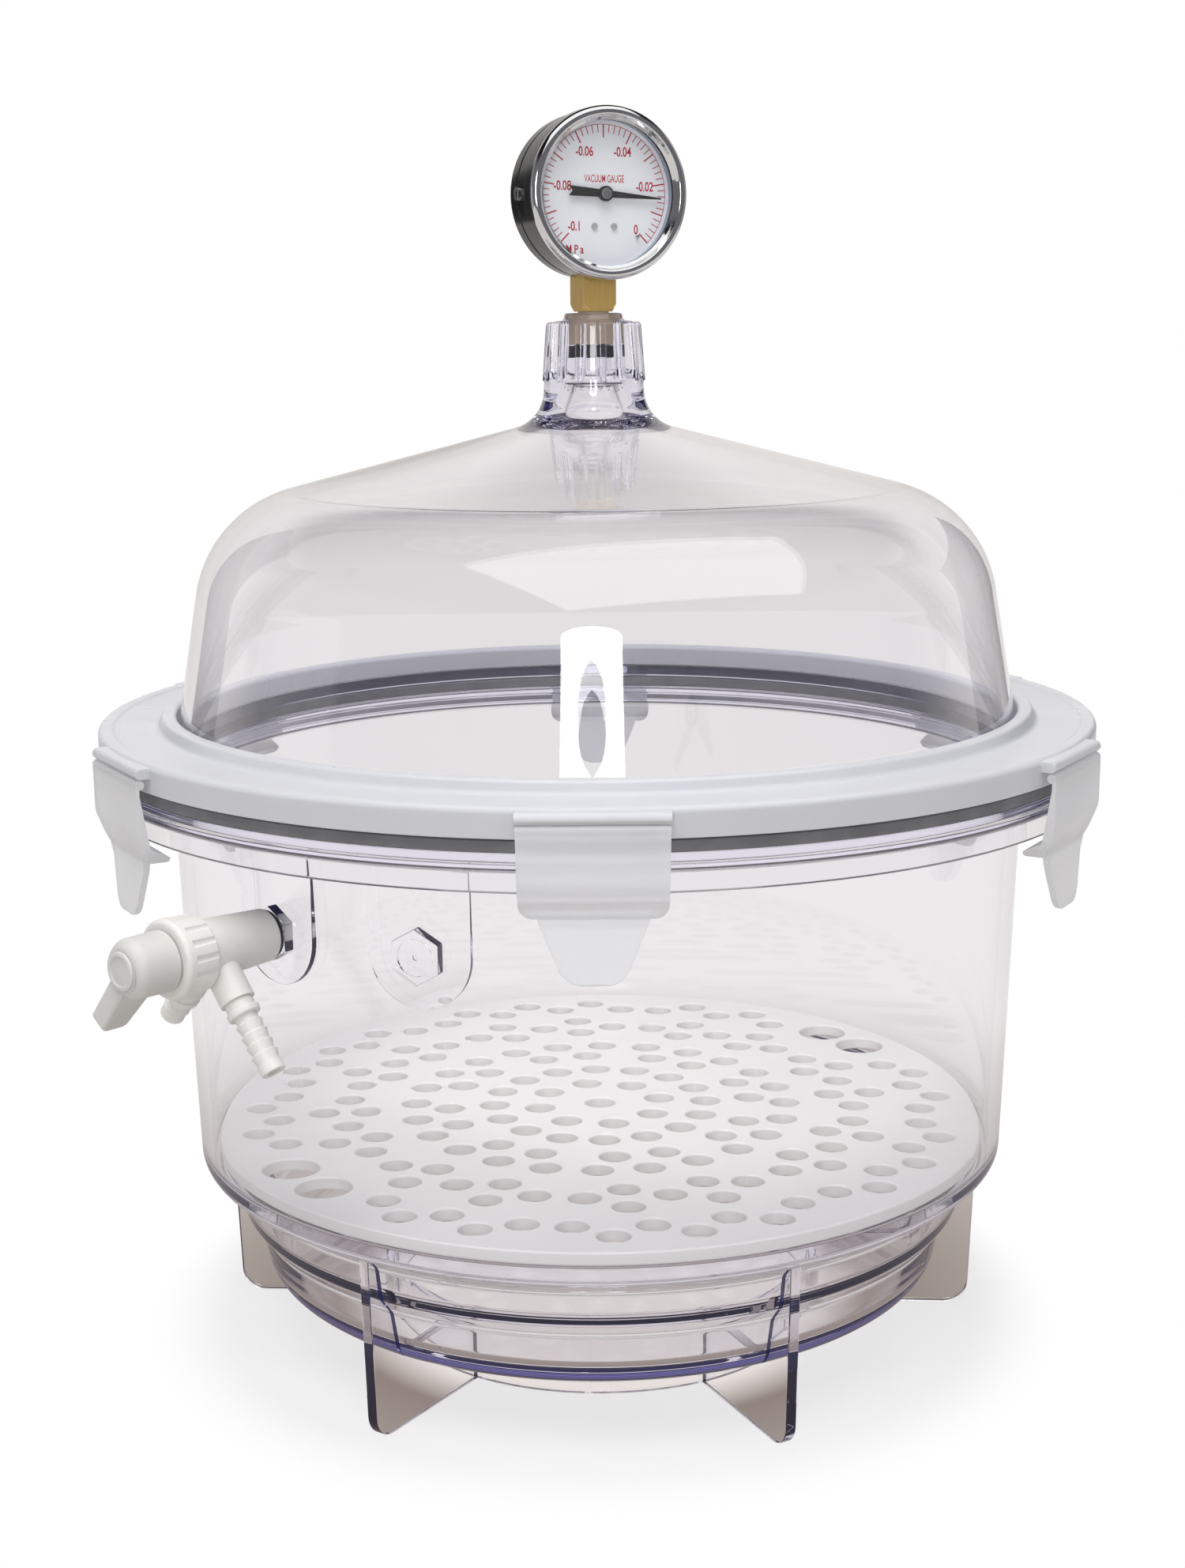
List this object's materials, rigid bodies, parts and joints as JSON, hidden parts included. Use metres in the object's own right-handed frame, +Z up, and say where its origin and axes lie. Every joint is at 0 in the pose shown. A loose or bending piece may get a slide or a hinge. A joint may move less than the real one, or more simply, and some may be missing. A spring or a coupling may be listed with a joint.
{
  "type": "vacuum desiccator",
  "caption": "Clear moulded vacuum desiccator: tub with perforated plate, domed lid held by a clip ring, dial vacuum gauge on the neck, three-way stopcock with hose barbs.",
  "frame": {"origin": "on the floor under the middle of the tub", "axes": "+Z up along the tub axis, -Y towards the front clip; the stopcock is at the front left"},
  "size_m": [0.36, 0.367, 0.4434],
  "materials": {
    "clear_polycarbonate": "clear moulded polycarbonate, polished",
    "clamp_white": "translucent natural polypropylene, satin",
    "plate_white": "opaque white polypropylene, satin",
    "stopcock_white": "off-white moulded plastic, satin",
    "handle_white": "slightly greyer moulded plastic, satin",
    "gasket_grey": "grey silicone rubber",
    "seal_black": "black rubber",
    "chrome": "bright chrome plate",
    "gauge_black": "gloss black enamel",
    "brass": "machined brass",
    "window_glass": "flat clear glass",
    "dial_white": "matt white printed dial",
    "pointer_black": "matt black",
    "steel": "plated steel",
    "bronze": "phosphor bronze"
  },
  "bodies": {
    "tub": {"tub": "clear_polycarbonate", "tub_fins": "clear_polycarbonate", "tub_foot_ring": "clear_polycarbonate", "lid_gasket": "gasket_grey", "port_seal": "seal_black", "stopcock_body": "stopcock_white", "hose_barb_long": "stopcock_white", "hose_barb_short": "stopcock_white", "union_nut": "stopcock_white"},
    "plate": {"perforated_plate": "plate_white"},
    "lid": {"dome_cover": "clear_polycarbonate", "neck_foot": "clear_polycarbonate", "neck_flutes": "clear_polycarbonate", "clamp_ring": "clamp_white", "gauge_seal": "seal_black", "gauge_socket": "brass", "gauge_case": "gauge_black", "blowout_plug": "seal_black", "gauge_bezel": "chrome", "gauge_window": "window_glass", "window_gasket": "seal_black", "dial_spacer": "dial_white", "gauge_dial": "dial_white", "dial_screws": "steel", "pointer_stop": "steel", "case_screws": "steel", "bourdon_tube": "bronze", "movement_frame": "brass"},
    "clip_1": {"clip_1": "clamp_white"},
    "clip_2": {"clip_2": "clamp_white"},
    "clip_3": {"clip_3": "clamp_white"},
    "clip_4": {"clip_4": "clamp_white"},
    "clip_5": {"clip_5": "clamp_white"},
    "clip_6": {"clip_6": "clamp_white"},
    "sector": {"sector_gear": "brass"},
    "pointer": {"pinion_arbor": "steel", "gauge_pointer": "pointer_black", "pointer_cap": "steel"},
    "stopcock_plug": {"stopcock_plug": "stopcock_white", "plug_o_rings": "seal_black", "stopcock_handle": "handle_white", "handle_cap": "handle_white"}
  },
  "joints": [
    {"name": "lid_lift", "type": "slide", "parent": "tub", "child": "lid", "axis": [0, 0, 1], "range_m": [0, 0.042]},
    {"name": "plate_lift", "type": "slide", "parent": "tub", "child": "plate", "axis": [0, 0, 1], "range_m": [0, 0.12]},
    {"name": "clip_1_hinge", "type": "hinge", "parent": "lid", "child": "clip_1", "pos_m": [0, -0.182, 0.225], "axis": [-1, 0, 0], "range_deg": [0, 106]},
    {"name": "clip_2_hinge", "type": "hinge", "parent": "lid", "child": "clip_2", "pos_m": [0.15762, -0.091, 0.225], "axis": [-0.5, -0.866, 0], "range_deg": [0, 106]},
    {"name": "clip_3_hinge", "type": "hinge", "parent": "lid", "child": "clip_3", "pos_m": [0.15762, 0.091, 0.225], "axis": [0.5, -0.866, 0], "range_deg": [0, 106]},
    {"name": "clip_4_hinge", "type": "hinge", "parent": "lid", "child": "clip_4", "pos_m": [0, 0.182, 0.225], "axis": [1, 0, 0], "range_deg": [0, 106]},
    {"name": "clip_5_hinge", "type": "hinge", "parent": "lid", "child": "clip_5", "pos_m": [-0.15762, 0.091, 0.225], "axis": [0.5, 0.866, 0], "range_deg": [0, 106]},
    {"name": "clip_6_hinge", "type": "hinge", "parent": "lid", "child": "clip_6", "pos_m": [-0.15762, -0.091, 0.225], "axis": [-0.5, 0.866, 0], "range_deg": [0, 106]},
    {"name": "sector_swing", "type": "hinge", "parent": "lid", "child": "sector", "pos_m": [0, 0, 0.403], "axis": [0.4003, -0.9164, 0], "range_deg": [-22.9, 4.1]},
    {"name": "pointer_turn", "type": "hinge", "parent": "lid", "child": "pointer", "pos_m": [0, 0, 0.414], "axis": [0.4003, -0.9164, 0], "range_deg": [-41, 229]},
    {"name": "stopcock_turn", "type": "hinge", "parent": "tub", "child": "stopcock_plug", "pos_m": [-0.12021, -0.13398, 0.1775], "axis": [-0.6678, -0.7443, 0], "continuous": true}
  ],
  "couplings": [
    {"joint": "clip_1_hinge", "follows": "lid_lift", "rad_per_m": 44},
    {"joint": "clip_2_hinge", "follows": "lid_lift", "rad_per_m": 44},
    {"joint": "clip_3_hinge", "follows": "lid_lift", "rad_per_m": 44},
    {"joint": "clip_4_hinge", "follows": "lid_lift", "rad_per_m": 44},
    {"joint": "clip_5_hinge", "follows": "lid_lift", "rad_per_m": 44},
    {"joint": "clip_6_hinge", "follows": "lid_lift", "rad_per_m": 44},
    {"joint": "pointer_turn", "follows": "sector_swing", "ratio": -10}
  ]
}
